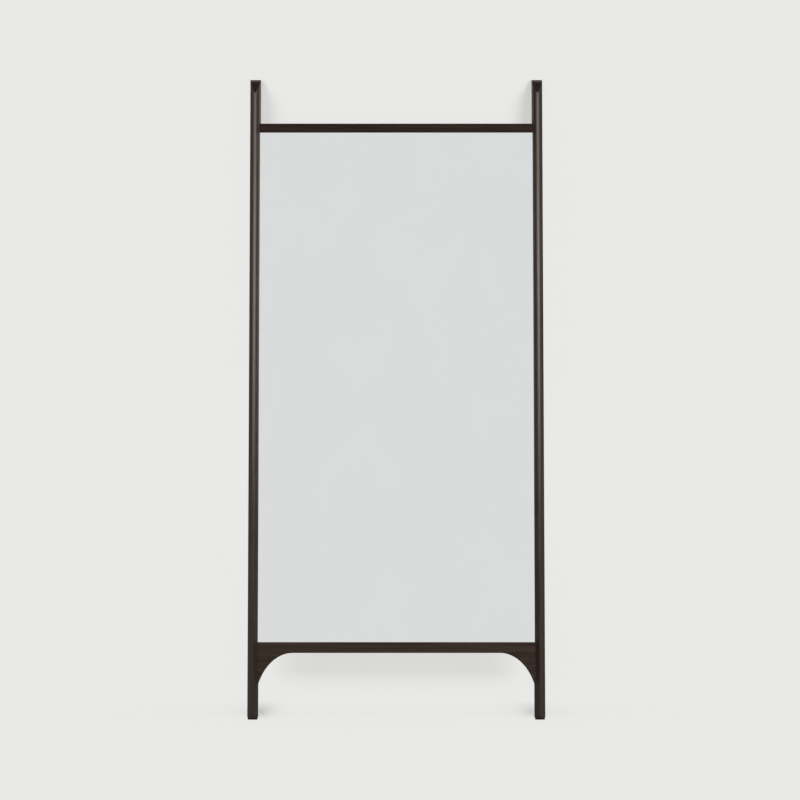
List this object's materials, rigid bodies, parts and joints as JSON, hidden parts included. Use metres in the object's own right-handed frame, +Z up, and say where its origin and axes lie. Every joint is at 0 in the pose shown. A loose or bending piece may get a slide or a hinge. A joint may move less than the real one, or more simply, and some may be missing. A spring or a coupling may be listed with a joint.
{
  "type": "floor mirror",
  "caption": "Tall leaning floor mirror: ridged dark wood posts with sloping tops, a straight top rail, an arched lower rail and one flat glass.",
  "frame": {"origin": "floor level under the middle of the overall box of the mirror", "axes": "+X to the right as seen from the front, +Y back towards the wall, +Z up"},
  "size_m": [0.83, 0.1946, 1.8],
  "materials": {
    "frame_wood": "dark brown stain under satin lacquer",
    "tenon_wood": "bare planed beech",
    "mirror": "clear silvered glass with ground edges",
    "back_board": "dark brown fibreboard",
    "screw_steel": "bright zinc plating",
    "block_rubber": "matt black rubber",
    "foam_tape": "white closed-cell foam",
    "foot_rubber": "matt black rubber",
    "wall_felt": "pressed wool felt"
  },
  "bodies": {
    "root": {"right_post": "frame_wood", "left_post": "frame_wood", "top_rail": "frame_wood", "lower_rail": "frame_wood", "right_top_tenon": "tenon_wood", "left_top_tenon": "tenon_wood", "right_lower_tenon": "tenon_wood", "left_lower_tenon": "tenon_wood", "mirror_glass": "mirror", "right_setting_block": "block_rubber", "left_setting_block": "block_rubber", "right_lower_spacer": "block_rubber", "left_lower_spacer": "block_rubber", "right_upper_spacer": "block_rubber", "left_upper_spacer": "block_rubber", "right_cushion_tape": "foam_tape", "left_cushion_tape": "foam_tape", "top_cushion_tape": "foam_tape", "lower_cushion_tape": "foam_tape", "back_panel": "back_board", "back_panel_screws": "screw_steel", "right_foot_pad": "foot_rubber", "left_foot_pad": "foot_rubber", "right_wall_pad": "wall_felt", "left_wall_pad": "wall_felt"}
  },
  "joints": []
}
